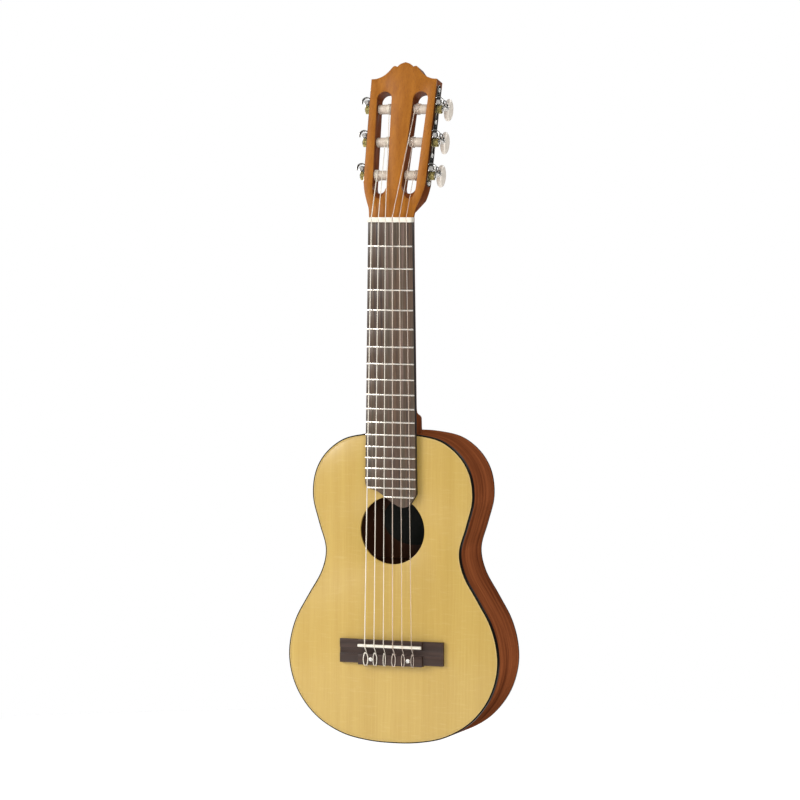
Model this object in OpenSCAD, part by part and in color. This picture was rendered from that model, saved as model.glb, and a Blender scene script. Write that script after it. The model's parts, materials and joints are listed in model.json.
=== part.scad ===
// Small six-string classical travel guitar with a slotted headstock and geared machine heads.
// Frame: +Z along the neck towards the tip, -Y out of the front, +X towards the treble side.
// The origin is on the centreline at the nut's fingerboard edge, in the soundboard's front plane.

/* [Scale] */
// Speaking length of the strings, nut to saddle
scale_len = 433; // [425:1:440]
// Number of frets on the fingerboard
fret_count = 18; // [14:1:18]

/* [Body] */
// Depth of the body, front face to flat back
body_depth = 66; // [56:1:80]
// Thickness of the soundboard and of the back
plate_t = 2.5; // [2:0.1:3.5]
// Thickness of the bent sides
side_t = 2; // [1.6:0.1:2.6]
// Depth of the edge binding at the front
binding_d = 4.5; // [3:0.5:6]
// Radius of the soundhole
hole_r = 34.9; // [25:0.1:36]
// Distance of the soundhole centre below the nut
hole_z = 314.4; // [310:0.1:320]

/* [Neck] */
// Width of the fingerboard at the nut
nut_w = 48; // [44:0.5:52]
// Width of the fingerboard at the twelfth fret
board_w12 = 53.7; // [50:0.1:56]
// Thickness of the fingerboard
board_t = 5.6; // [4:0.1:6.5]
// Depth of the neck behind the fingerboard, near the nut
neck_d = 14.6; // [13:0.1:17]

/* [Headstock] */
// Backward tilt of the headstock in degrees
head_tilt = 15; // [8:0.5:16]
// Total thickness of the headstock
head_t = 17; // [16:0.5:18]
// Distance between neighbouring string rollers
roller_step = 35; // [33:0.5:36]

/* [Machine heads] */
// Radius of the roller sleeve
sleeve_r = 5; // [4:0.1:5.4]
// Teeth on each brass gear
gear_teeth = 14; // [14:1:14]
// Length of the oval button along the headstock
button_len = 23.2; // [18:0.1:24]

/* [Strings] */
// Distance between the outer strings at the saddle
saddle_spread = 51; // [48:0.5:54]
// Distance between the outer strings at the nut
nut_spread = 37.8; // [34:0.2:40]

/* [Hidden] */
$fn = 48;
eps = 0.01;

// Body: right half of the outline as (x, z), from the neck joint round to the tail.
body_half = [[0, -215], [27, -216], [53, -221.6], [73.3, -236.6], [85, -257], [87.6, -282.5],
             [80.9, -309], [73.6, -335], [78.4, -358.5], [93, -383.5], [107, -408.5], [114.1, -435],
             [113.3, -460.5], [103.6, -486.5], [84, -509.8], [57, -525.3], [28.5, -531.8], [0, -533.4]];
curve_steps = 4;
purfling_w = 0.6;
lining_w = 5.5;
lining_d = 7;
back_binding_d = 3;
block_half = 28;
neck_block_end = -250;
tail_block_start = -519;
brace_h = 6;
brace_w = 6;
top_z = -217;

// Neck, heel and fingerboard.
board_taper = (board_w12 - nut_w) / scale_len;
heel_half = 8;
heel_rise = 17;
nut_t = 5;
nut_h = 8;
fret_r = 1;
fret_tang = [0.5, 1.8];
// End of the fingerboard as (x, z), from the bass corner down round the treble lobe.
board_end = [[-27.4, -266], [-24.8, -271.2], [-14.5, -274.2], [-2.5, -282.5], [8, -289],
             [14.5, -290.4], [21, -287.3], [27.7, -277]];

// Headstock: (x, s) with s measured along the face from the nut.
head_y = -3;
veneer_t = 1.5;
side_mid = 80.6;
side_half = 34.5;
side_slope = 1.1;
shoulder_top = 37;
crown_low = 146;
shoulder = [[24, 0], [25.2, 8.5], [27.4, 14.5], [30, 21.5], [32.2, 29], [side_x(shoulder_top), shoulder_top]];
crown_outer = [[side_x(crown_low), crown_low], [31.3, 146.2], [26.5, 147.6], [21.5, 150.3], [17.2, 154.3],
               [12.6, 159.6], [8.6, 159]];
crown_tip = [[8.6, 159], [5.3, 162], [0, 163.8]];
slot_top = 124.8;
slot_low = 34;
ramp_r = 7.5;
ramp_tilt = 25;
ramp_x = 16.5;
ramp_s = 32.6;
// Rounded back near the nut: two cones about an axis in front of the face, as (s, radius).
round_axis = -10.4;
round_cones = [[-8, 27], [5.5, 28.1], [22.5, 41.6]];

// Machine heads, in a frame on the headstock's side: x outward, y to the back, z along the head.
axis_depth = 8;
fit = 0.05;
plate_metal = 1.2;
plate_w = 11;
plate_low = -46.4;
plate_high = 60.1;
screw_places = [-43.2, -13.9, 21.4, 55.2];
screw_r = 1.1;
screw_len = 6;
shaft_r = 3;
journal_r = 2.5;
journal_len = 4.5;
spigot_r = 1.6;
gear_mid = 4;
gear_w = 4.4;
gear_tip_r = 4.4;
gear_root_r = 3.4;
tooth_half = 0.3;
mesh_distance = 6.15;
worm_r = 1.6;
thread_r = 2.6;
thread_pitch = 1.8;
thread_turns = 3.5;
thread_sides = 12;
lug_place = 5.2;
lug_t = 1.6;
lug_r = 2.9;
hook_place = 5.9;
hook_r = 5.6;
hook_t = 1;
hook_w = 3;
hook_end = -15;
collar_r = 2.4;
collar_gap = 0.3;
ferrule_place = 14;
ferrule_r = 3.6;
ferrule_h = 3.2;
button_place = 24.5;
button_deep = 14.5;
button_t = 6.4;
button_round = 1.4;

// Bridge, as distances below the nut.
bridge_top = -427.2;
bridge_low = -451.5;
bridge_half = 56.5;
bridge_block_half = 34.9;
bridge_block_low = -452.7;
bridge_h = 7.6;
wing_h = 3.6;
saddle_w = 3;
saddle_y = -10.4;
tie_front = -442;
tie_trough = -436;
trough_h = 2.8;
tie_hole_y = -4.4;
dot_r = 1.4;

// Strings, bass to treble: diameter, roller position along the head, and where it meets the roller.
string_d = [1.09, 0.89, 0.74, 1.02, 0.82, 0.71];
roller_x = [-20.5, -15.2, -14.3, 14.3, 15.2, 19.5];
string_shift = -0.8;
string_gap = 0.25;
nut_string_y = -7.9;

// Rollers are numbered like their strings: 1 to 3 on the bass side, 4 to 6 on the treble side.
function roller_place(k) = [-roller_step, 0, roller_step][k < 3 ? k : 5 - k];
function side_of(k) = k < 3 ? -1 : 1;

// A smooth curve through a list of points, open or closed.
function blend4(a, b, c, d, t) =
    0.5 * ((2 * b) + (c - a) * t + (2 * a - 5 * b + 4 * c - d) * t * t
           + (3 * b - a - 3 * c + d) * t * t * t);
function open_curve(p, n) =
    let (last = len(p) - 1)
    [for (i = [0 : last - 1]) for (j = [0 : n - 1])
        blend4(p[max(i - 1, 0)], p[i], p[i + 1], p[min(i + 2, last)], j / n),
     p[last]];
function closed_curve(p, n) =
    let (m = len(p))
    [for (i = [0 : m - 1]) for (j = [0 : n - 1])
        blend4(p[(i + m - 1) % m], p[i], p[(i + 1) % m], p[(i + 2) % m], j / n)];
function mirrored(p) = [for (i = [len(p) - 1 : -1 : 0]) [-p[i][0], p[i][1]]];
function inner(list, first, last) = [for (i = [first : last]) list[i]];

// The body's outline, moved inwards by d.
body_loop = closed_curve(concat(body_half, inner(mirrored(body_half), 1, len(body_half) - 2)), curve_steps);
function unit(v) = v / norm(v);
function body_edge(d) =
    let (m = len(body_loop))
    [for (i = [0 : m - 1])
        let (along = unit(body_loop[(i + 1) % m] - body_loop[(i + m - 1) % m]))
        body_loop[i] + d * [along[1], -along[0]]];

function board_half(z) = nut_w / 2 - z * board_taper;
function fret_z(k) = -scale_len * (1 - pow(2, -k / 12));
function side_x(s) = side_half + (s - side_mid) * tan(side_slope);
function slot_inner(s) = 7.6 + (s - 28) * tan(2.4);
function slot_outer(s) = 23.9 + (s - 34) * tan(2.5);

// Extrudes a drawing in the X-Z plane from y0 to y1.
module slab(y0, y1) {
    translate([0, y1, 0]) rotate([90, 0, 0]) linear_extrude(height = y1 - y0) children();
}

// A block between two corners.
module block(low, high) {
    translate(low) cube(high - low);
}

// A closed skin over a row of rings that have the same number of points.
module swept(rings) {
    n = len(rings[0]);
    last = len(rings) - 1;
    sides = [for (i = [0 : last - 1]) for (j = [0 : n - 1])
        let (a = i * n + j, b = i * n + (j + 1) % n)
        each [[a, a + n, b + n], [a, b + n, b]]];
    polyhedron(points = [for (ring = rings) each ring],
               faces = concat([[for (j = [0 : n - 1]) j]], sides,
                              [[for (j = [n - 1 : -1 : 0]) last * n + j]]));
}

module edge_ring(d0, d1, y0, y1) {
    slab(y0, y1) difference() {
        polygon(body_edge(d0));
        polygon(body_edge(d1));
    }
}

module inside_slab(d, y0, y1) {
    slab(y0, y1) polygon(body_edge(d));
}

// ---- Body ----

module soundboard() {
    color("burlywood") slab(0, plate_t) difference() {
        polygon(body_edge(side_t + purfling_w));
        translate([0, -hole_z]) circle(r = hole_r, $fn = 96);
    }
}

module top_purfling() {
    color("ivory") edge_ring(side_t, side_t + purfling_w, 0, plate_t);
}

module top_binding() {
    color([0.08, 0.07, 0.07]) edge_ring(0, side_t, 0, binding_d);
}

module half_side(sign) {
    intersection() {
        edge_ring(0, side_t, binding_d, body_depth - back_binding_d);
        block([min(0, sign * 200), -eps, -600], [max(0, sign * 200), body_depth, -200]);
    }
}

module side_bass() {
    color("saddlebrown") half_side(-1);
}

module side_treble() {
    color("saddlebrown") half_side(1);
}

module back_binding() {
    color([0.1, 0.06, 0.05]) edge_ring(0, side_t, body_depth - back_binding_d, body_depth);
}

module back_plate() {
    color("sienna") inside_slab(side_t, body_depth - plate_t, body_depth);
}

// Room for the two end blocks, which the linings stop against.
module block_space() {
    block([-block_half, -eps, neck_block_end], [block_half, body_depth, top_z + 20]);
    block([-block_half, -eps, -600], [block_half, body_depth, tail_block_start]);
}

module lining(y0, y1) {
    color("tan") difference() {
        edge_ring(side_t, side_t + lining_w, y0, y1);
        block_space();
    }
}

module top_lining() {
    lining(plate_t, plate_t + lining_d);
}

module back_lining() {
    lining(body_depth - plate_t - lining_d, body_depth - plate_t);
}

module end_block() {
    color("peru") intersection() {
        inside_slab(side_t, plate_t, body_depth - plate_t);
        children();
    }
}

module neck_block() {
    end_block() block([-block_half, 0, neck_block_end], [block_half, body_depth, top_z + 20]);
}

module tail_block() {
    end_block() block([-block_half, 0, -600], [block_half, body_depth, tail_block_start]);
}

module cross_brace(z, y0, y1) {
    block([-150, y0, z - brace_w / 2], [150, y1, z + brace_w / 2]);
}

module fan_brace(x, angle) {
    translate([x, plate_t, -374]) rotate([0, angle, 0])
        translate([-brace_w / 3, 0, -130]) cube([brace_w * 2 / 3, brace_h - 1, 130]);
}

module top_braces() {
    color("wheat") difference() {
        intersection() {
            inside_slab(side_t + lining_w, plate_t, plate_t + brace_h);
            union() {
                cross_brace(-266, plate_t, plate_t + brace_h);
                cross_brace(-361, plate_t, plate_t + brace_h);
                for (i = [-2 : 2]) fan_brace(i * 17, -i * 7);
            }
        }
        bridge_plate_body();
        block([-block_half, 0, -600], [block_half, body_depth, tail_block_start]);
    }
}

module back_braces() {
    color("wheat") intersection() {
        inside_slab(side_t + lining_w, body_depth - plate_t - brace_h - 4, body_depth - plate_t);
        for (z = [-268, -352, -398, -462])
            cross_brace(z, body_depth - plate_t - brace_h - 4, body_depth - plate_t);
    }
}

module bridge_plate_body() {
    block([-60, plate_t, -455], [60, plate_t + 2, -424]);
}

module bridge_plate() {
    color("rosybrown") bridge_plate_body();
}

// A plain oval paper label on the inside of the back.
module label() {
    label_t = 0.3;
    color("darkslategray") slab(body_depth - plate_t - label_t, body_depth - plate_t)
        polygon([for (a = [0 : 7.5 : 352.5]) [34 * cos(a), -309 + 26 * sin(a)]]);
}

// ---- Neck ----

// Rounded half section: width from -w to w, depth d towards +Y, squarer as power grows.
function half_round(w, d, power) =
    [for (a = [0 : 7.5 : 180])
        [w * sign(cos(a)) * pow(abs(cos(a)), 2 / power), d * pow(sin(a), 2 / power)]];

module neck_slice(z, d, power) {
    slice_t = 0.2;
    translate([0, 0, z]) linear_extrude(height = slice_t) polygon(half_round(board_half(z), d, power));
}

// Section of the heel at depth y: half width w, rising h above the body joint.
module heel_slice(y, w, h) {
    slice_t = 0.2;
    slab(y - slice_t, y) translate([0, top_z]) polygon(half_round(w, h, 2.2));
}

// The heel as (depth, half width, rise), from the neck's back down to the cap.
heel_steps = [[12, 25.6, 27], [18, 25.2, 23], [25, 22.6, 20.5], [38, 17.6, 18.5],
              [body_depth - back_binding_d, heel_half, heel_rise]];

module neck() {
    color("sienna") difference() {
        union() {
            hull() {
                neck_slice(nut_t - 0.2, neck_d, 2);
                neck_slice(-20, neck_d + 0.1, 1.9);
            }
            hull() {
                neck_slice(-20, neck_d + 0.1, 1.9);
                neck_slice(top_z - 3, neck_d + 1, 1.8);
            }
            for (i = [0 : 3]) hull() {
                heel_slice(heel_steps[i][0], heel_steps[i][1], heel_steps[i][2]);
                heel_slice(heel_steps[i + 1][0], heel_steps[i + 1][1], heel_steps[i + 1][2]);
            }
        }
        inside_slab(0, -10, body_depth + 10);
    }
}

module heel_cap() {
    color([0.1, 0.06, 0.05]) difference() {
        slab(body_depth - back_binding_d, body_depth)
            translate([0, top_z]) polygon(half_round(heel_half, heel_rise, 2.2));
        inside_slab(0, -10, body_depth + 10);
    }
}

module board_outline() {
    end = open_curve(board_end, 4);
    polygon(concat([[nut_w / 2, 0], [-nut_w / 2, 0]], end));
}

module fret_bar(z) {
    half = board_half(z);
    translate([-half, -board_t, z]) rotate([0, 90, 0]) cylinder(r = fret_r, h = 2 * half);
}

module fret_tangs() {
    for (k = [1 : fret_count]) let (z = fret_z(k))
        block([-40, -board_t - eps, z - fret_tang[0] / 2],
              [40, -board_t + fret_tang[1], z + fret_tang[0] / 2]);
}

module fingerboard() {
    color([0.2, 0.14, 0.11]) difference() {
        slab(-board_t, 0) board_outline();
        fret_tangs();
    }
}

module frets() {
    color("silver") intersection() {
        union() {
            intersection() {
                for (k = [1 : fret_count]) fret_bar(fret_z(k));
                block([-40, -board_t - 3, -300], [40, -board_t, 0]);
            }
            fret_tangs();
        }
        slab(-board_t - 3, 0) board_outline();
    }
}

function nut_string_x(k) = string_shift / 2 + nut_spread * (k / 5 - 0.5);
function saddle_string_x(k) = string_shift + saddle_spread * (k / 5 - 0.5);

module nut() {
    color("cornsilk") difference() {
        block([-nut_w / 2, -nut_h, 0], [nut_w / 2, 0, nut_t]);
        for (k = [0 : 5]) translate([nut_string_x(k), nut_string_y, -1])
            cylinder(r = string_d[k] / 2 + fit, h = nut_t + 2);
    }
}

// ---- Headstock ----

// The headstock's own frame: x across, y behind the face, z along it.
module on_head() {
    translate([0, head_y, nut_t]) rotate([-head_tilt, 0, 0]) children();
}

module head_outline() {
    tip = open_curve(crown_tip, 4);
    right = concat(open_curve(shoulder, 3), open_curve(crown_outer, 4), inner(tip, 1, len(tip) - 1));
    polygon(concat(right, inner(mirrored(right), 1, len(right) - 1)));
}

// One slot: straight inner and outer walls between two round ends.
module slot_outline() {
    top_mid = (slot_inner(slot_top) + slot_outer(slot_top)) / 2;
    top_r = (slot_outer(slot_top) - slot_inner(slot_top)) / 2;
    low_mid = (slot_inner(slot_low) + slot_outer(slot_low)) / 2;
    low_r = (slot_outer(slot_low) - slot_inner(slot_low)) / 2;
    polygon(concat(
        [for (a = [0 : 7.5 : 180]) [top_mid + top_r * cos(a), slot_top + top_r * sin(a)]],
        [for (a = [180 : 7.5 : 360]) [low_mid + low_r * cos(a), slot_low + low_r * sin(a)]]));
}

// Slots, string ramps and the bores for rollers and plate screws.
module head_cuts() {
    for (sign = [-1, 1]) {
        slab(-1, head_t + 1) mirror([sign < 0 ? 1 : 0, 0]) slot_outline();
        translate([sign * ramp_x, -1, ramp_s]) rotate([-ramp_tilt, 0, 0])
            translate([0, 0, -30]) cylinder(r = ramp_r, h = 42);
        on_side(sign) {
            for (z = screw_places) translate([-screw_len, 0, z]) rotate([0, 90, 0])
                cylinder(r = screw_r, h = screw_len + 5);
            for (i = [-1 : 1]) translate([-slot_span(sign, i)[0] - journal_len - 0.5, 0, i * roller_step])
                rotate([0, 90, 0]) cylinder(r = journal_r + fit, h = 20);
            for (i = [-1 : 1]) translate([-slot_span(sign, i)[1] - 2, 0, i * roller_step])
                rotate([0, 90, 0]) cylinder(r = shaft_r + fit, h = 20);
        }
    }
}

// Depths from the headstock's side to the slot's inner and outer walls, at roller row i.
function slot_span(sign, i) =
    let (s = side_mid + i * roller_step)
    [side_x(s) - slot_inner(s), side_x(s) - slot_outer(s)];

module above_nut() {
    intersection() {
        children();
        block([-60, -40, nut_t], [60, 80, 200]);
    }
}

module head_layer(y0, y1) {
    above_nut() on_head() difference() {
        slab(y0, y1) head_outline();
        head_cuts();
    }
}

// The waste around the headstock's rounded back, between the neck and the flat back.
module round_waste() {
    last = len(round_cones) - 1;
    difference() {
        block([-60, -1, round_cones[0][0]], [60, head_t + 1, round_cones[last][0]]);
        for (i = [0 : last - 1]) let (low = round_cones[i], high = round_cones[i + 1])
            translate([0, round_axis, low[0] - eps])
                cylinder(r1 = low[1], r2 = high[1], h = high[0] - low[0] + 2 * eps, $fn = 96);
    }
}

module headstock() {
    color("sienna") difference() {
        union() {
            head_layer(veneer_t, head_t);
            above_nut() on_head() slab(veneer_t, head_t) translate([-nut_w / 2, -6]) square([nut_w, 6]);
        }
        on_head() round_waste();
    }
}

module head_veneer() {
    color("peru") head_layer(0, veneer_t);
}

// ---- Machine heads ----

// Frame of one row of machine heads, mirrored for the bass side.
module on_side(sign) {
    mirror([sign < 0 ? 1 : 0, 0, 0]) translate([side_half, axis_depth, side_mid])
        rotate([0, side_slope, 0]) children();
}

module tuner_frame(k) {
    on_head() on_side(side_of(k)) translate([0, 0, roller_place(k)]) children();
}

module lug(z, y) {
    translate([0, y - lug_t / 2, z]) {
        block([plate_metal - eps, 0, -lug_r + 0.3], [gear_mid, lug_t, lug_r - 0.3]);
        translate([gear_mid, lug_t, 0]) rotate([90, 0, 0]) cylinder(r = lug_r, h = lug_t);
    }
}

// A strip that curls from the plate over the worm, beside one lug.
module hook(z, y) {
    far = 20;
    translate([gear_mid, y + hook_w / 2, z]) rotate([90, 0, 0]) linear_extrude(height = hook_w) difference() {
        circle(r = hook_r);
        circle(r = hook_r - hook_t);
        polygon([[0, 0], [far * cos(hook_end), far * sin(hook_end)], [far, -far], [-far, -far], [-far, 0]]);
        translate([-far, -far]) square([far - gear_mid + plate_metal - eps, 2 * far]);
    }
}

module tuner_plate(sign) {
    plate_end = plate_w / 2;
    color("gainsboro") on_head() on_side(sign) difference() {
        union() {
            block([0, -plate_end, plate_low + plate_end], [plate_metal, plate_end, plate_high - plate_end]);
            for (z = [plate_low + plate_end, plate_high - plate_end])
                translate([0, 0, z]) rotate([0, 90, 0]) cylinder(r = plate_end, h = plate_metal);
            for (i = [-1 : 1]) for (y = [-lug_place, lug_place]) lug(i * roller_step + mesh_distance, y);
            for (i = [-1 : 1]) for (y = [-hook_place, hook_place]) hook(i * roller_step + mesh_distance, y);
        }
        for (i = [-1 : 1]) {
            translate([-1, 0, i * roller_step]) rotate([0, 90, 0]) cylinder(r = shaft_r + fit, h = 5);
            translate([gear_mid, 10, i * roller_step + mesh_distance]) rotate([90, 0, 0])
                cylinder(r = worm_r + fit, h = 20);
        }
        for (z = screw_places) translate([-1, 0, z]) rotate([0, 90, 0]) cylinder(r = screw_r + 0.2, h = 5);
    }
}

module tuner_plate_bass() {
    tuner_plate(-1);
}

module tuner_plate_treble() {
    tuner_plate(1);
}

module plate_screw() {
    head_r = 2.2;
    head_h = 1;
    rotate([0, 90, 0]) {
        translate([0, 0, -screw_len + 1]) cylinder(r = screw_r, h = screw_len - 1 + plate_metal + eps);
        translate([0, 0, plate_metal]) cylinder(r = head_r, h = head_h);
    }
}

module plate_screws() {
    color("silver") for (sign = [-1, 1]) on_head() on_side(sign)
        for (z = screw_places) translate([0, 0, z]) plate_screw();
}

// Roller: an off-white sleeve on a shaft that turns in the side rail and in the centre web.
module roller(k) {
    span = slot_span(side_of(k), roller_place(k) / roller_step);
    side_gap = 0.4;
    color("linen") tuner_frame(k) rotate([0, 90, 0]) {
        translate([0, 0, -span[0] + side_gap]) cylinder(r = sleeve_r, h = span[0] - span[1] - 2 * side_gap);
        translate([0, 0, -span[0] - journal_len]) cylinder(r = journal_r, h = journal_len + 1);
        translate([0, 0, -span[1] - 1]) cylinder(r = shaft_r, h = span[1] + 1 + plate_metal + 0.1);
        cylinder(r = spigot_r, h = gear_mid + gear_w / 2 + 0.3);
    }
}

function gear_points() =
    let (tip = asin(tooth_half * 0.8 / gear_tip_r), root = asin(tooth_half * 1.25 / gear_root_r))
    [for (i = [0 : gear_teeth - 1]) let (a = i * 360 / gear_teeth)
        each [gear_root_r * [cos(a - root), sin(a - root)], gear_tip_r * [cos(a - tip), sin(a - tip)],
              gear_tip_r * [cos(a + tip), sin(a + tip)], gear_root_r * [cos(a + root), sin(a + root)]]];

// Brass gear with a hub that stands on the plate; one tooth points at the worm at rest.
module gear_body() {
    hub_low = plate_metal + 0.1;
    rotate([0, 90, 0]) difference() {
        union() {
            translate([0, 0, gear_mid - gear_w / 2]) linear_extrude(height = gear_w)
                rotate(180) polygon(gear_points());
            translate([0, 0, hub_low]) cylinder(r = shaft_r, h = gear_mid - gear_w / 2 - hub_low + eps);
        }
        translate([0, 0, -1]) cylinder(r = spigot_r, h = 10);
    }
}

module gear(k) {
    color("darkkhaki") tuner_frame(k) gear_body();
}

// Section of the worm at height z: a round core with one lobe that turns with z into the thread.
function worm_ring(z) =
    [for (i = [0 : thread_sides - 1])
        let (a = i * 360 / thread_sides, lobe = min(a, 360 - a), crest = 45, foot = 90,
             r = lobe <= crest ? thread_r
                 : lobe >= foot ? worm_r - fit
                 : thread_r - (thread_r - worm_r + fit) * (lobe - crest) / (foot - crest),
             turn = a + 360 * z / thread_pitch)
        [r * cos(turn), r * sin(turn), z]];

// Worm: journals in both lugs, a single-start thread between them, then a collar that flares
// into a ferrule, and a shaft for the button.
module worm_body() {
    thread_h = thread_turns * thread_pitch;
    shaft_end = lug_place + lug_t / 2;
    rings = thread_sides * thread_turns;
    translate([gear_mid, 0, mesh_distance]) rotate([-90, 0, 0]) {
        translate([0, 0, -thread_h / 2]) swept([for (i = [0 : rings]) worm_ring(i * thread_h / rings)]);
        translate([0, 0, -shaft_end - 0.2]) cylinder(r = worm_r, h = shaft_end + 0.2 - thread_h / 2);
        translate([0, 0, -shaft_end - 1.4]) cylinder(r = lug_r - 0.5, h = 1.2);
        translate([0, 0, thread_h / 2]) cylinder(r = worm_r, h = button_place - thread_h / 2);
        translate([0, 0, shaft_end + collar_gap]) cylinder(r = collar_r, h = ferrule_place - shaft_end);
        translate([0, 0, ferrule_place]) cylinder(r1 = collar_r, r2 = ferrule_r, h = ferrule_h);
    }
}

module worm(k) {
    color("silver") tuner_frame(k) worm_body();
}

// A squarish oval, drawn in by d all round.
module button_oval(d) {
    power = 2.1;
    polygon([for (a = [0 : 7.5 : 352.5])
        [(button_len / 2 - d) * sign(cos(a)) * pow(abs(cos(a)), 2 / power),
         (button_deep / 2 - d) * sign(sin(a)) * pow(abs(sin(a)), 2 / power)]]);
}

// Oval button on the worm's shaft, with its edges eased.
module button(k) {
    color("linen") tuner_frame(k) translate([gear_mid, 0, mesh_distance]) difference() {
        translate([-button_t / 2, button_place, 0]) rotate([0, 90, 0]) hull() {
            linear_extrude(height = button_t) button_oval(button_round);
            translate([0, 0, button_round])
                linear_extrude(height = button_t - 2 * button_round) button_oval(0);
        }
        rotate([-90, 0, 0]) cylinder(r = worm_r, h = button_place);
    }
}

// ---- Bridge and strings ----

module bridge() {
    color([0.25, 0.14, 0.1]) difference() {
        union() {
            block([-bridge_half, -wing_h, bridge_low], [bridge_half, 0, bridge_top]);
            block([-bridge_block_half, -bridge_h, bridge_block_low], [bridge_block_half, 0, bridge_top]);
        }
        block([-60, -20, tie_front], [60, -trough_h, tie_trough]);
        saddle_slot();
        for (k = [0 : 5]) translate([saddle_string_x(k), tie_hole_y, -460])
            cylinder(r = string_d[k] / 2 + fit, h = 460 + tie_front + 1);
    }
}

module saddle_slot() {
    block([-bridge_block_half + 0.5, -bridge_h - 1, -scale_len - saddle_w / 2],
          [bridge_block_half - 0.5, -trough_h, -scale_len + saddle_w / 2]);
}

module saddle() {
    half = bridge_block_half - 0.5;
    crown_y = saddle_y + saddle_w / 2;
    color("cornsilk") difference() {
        union() {
            block([-half, crown_y, -scale_len - saddle_w / 2], [half, -trough_h, -scale_len + saddle_w / 2]);
            translate([-half, crown_y, -scale_len]) rotate([0, 90, 0])
                cylinder(r = saddle_w / 2, h = 2 * half);
        }
        for (k = [0 : 5]) saddle_groove(k);
    }
}

module bridge_dots() {
    dot_z = -447;
    dot_x = saddle_spread * 0.4;
    color("white") for (sign = [-1, 1]) translate([string_shift + sign * dot_x, -bridge_h, dot_z])
        rotate([90, 0, 0]) cylinder(r = dot_r, h = 0.15);
}

// Round rod between two points.
module rod(a, b, r) {
    d = b - a;
    translate(a) rotate([0, atan2(norm([d[0], d[1]]), d[2]), atan2(d[1], d[0])]) cylinder(r = r, h = norm(d));
}

// A point of the headstock's frame in the object's frame.
function from_head(x, off, s) =
    [x, head_y + off * cos(head_tilt) + s * sin(head_tilt),
     nut_t - off * sin(head_tilt) + s * cos(head_tilt)];

// Route of a string: roller, nut, saddle, then through the tie block and back over it.
function string_route(k) =
    let (r = string_d[k] / 2, x0 = nut_string_x(k), x1 = saddle_string_x(k),
         behind = bridge_block_low - r - 0.1, over = -bridge_h - r - 0.05)
    [from_head(roller_x[k], axis_depth - sleeve_r - r - string_gap, side_mid + roller_place(k)),
     [x0, nut_string_y, nut_t + 0.1], [x1, saddle_y - r, -scale_len], [x1, tie_hole_y, tie_front + 0.6],
     [x1, tie_hole_y, behind], [x1 + 0.4, over, behind], [x1 + 1.6, over, tie_front + 1.4]];

// Room for string k where it bends over the saddle.
module saddle_groove(k) {
    route = string_route(k);
    for (i = [1, 2]) rod(route[i], route[i + 1], string_d[k] / 2 + fit);
}

// Ring of a round tube at point i of a route, mitred between its two stretches.
function tube_ring(route, i, r) =
    let (sides = 8, last = len(route) - 1,
         back = unit(route[max(i, 1)] - route[max(i, 1) - 1]),
         ahead = unit(route[min(i, last - 1) + 1] - route[min(i, last - 1)]),
         along = unit(back + ahead),
         across = unit([1, 0, 0] - along[0] * along),
         up = cross(along, across) / max(0.7, along * ahead))
    [for (j = [0 : sides - 1]) let (a = j * 360 / sides)
        route[i] + r * cos(a) * across + r * sin(a) * up];

module string(k) {
    route = string_route(k);
    color(k < 3 ? "tan" : "whitesmoke")
        swept([for (i = [0 : len(route) - 1]) tube_ring(route, i, string_d[k] / 2)]);
}

soundboard();
top_purfling();
top_binding();
side_bass();
side_treble();
back_plate();
back_binding();
top_lining();
back_lining();
neck_block();
tail_block();
top_braces();
back_braces();
bridge_plate();
label();
neck();
heel_cap();
headstock();
head_veneer();
fingerboard();
frets();
nut();
bridge();
saddle();
bridge_dots();
string(0);  // string_1
string(1);  // string_2
string(2);  // string_3
string(3);  // string_4
string(4);  // string_5
string(5);  // string_6
tuner_plate_bass();
tuner_plate_treble();
plate_screws();
roller(0);  // roller_1
roller(1);  // roller_2
roller(2);  // roller_3
roller(3);  // roller_4
roller(4);  // roller_5
roller(5);  // roller_6
gear(0);  // gear_1
gear(1);  // gear_2
gear(2);  // gear_3
gear(3);  // gear_4
gear(4);  // gear_5
gear(5);  // gear_6
worm(0);  // worm_1
worm(1);  // worm_2
worm(2);  // worm_3
worm(3);  // worm_4
worm(4);  // worm_5
worm(5);  // worm_6
button(0);  // button_1
button(1);  // button_2
button(2);  // button_3
button(3);  // button_4
button(4);  // button_5
button(5);  // button_6
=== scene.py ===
"""Looks of a small classical guitar: finishes and finely shaped pieces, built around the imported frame."""
import json
import math

import bmesh
import bpy
from mathutils import Matrix, Vector


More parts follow.
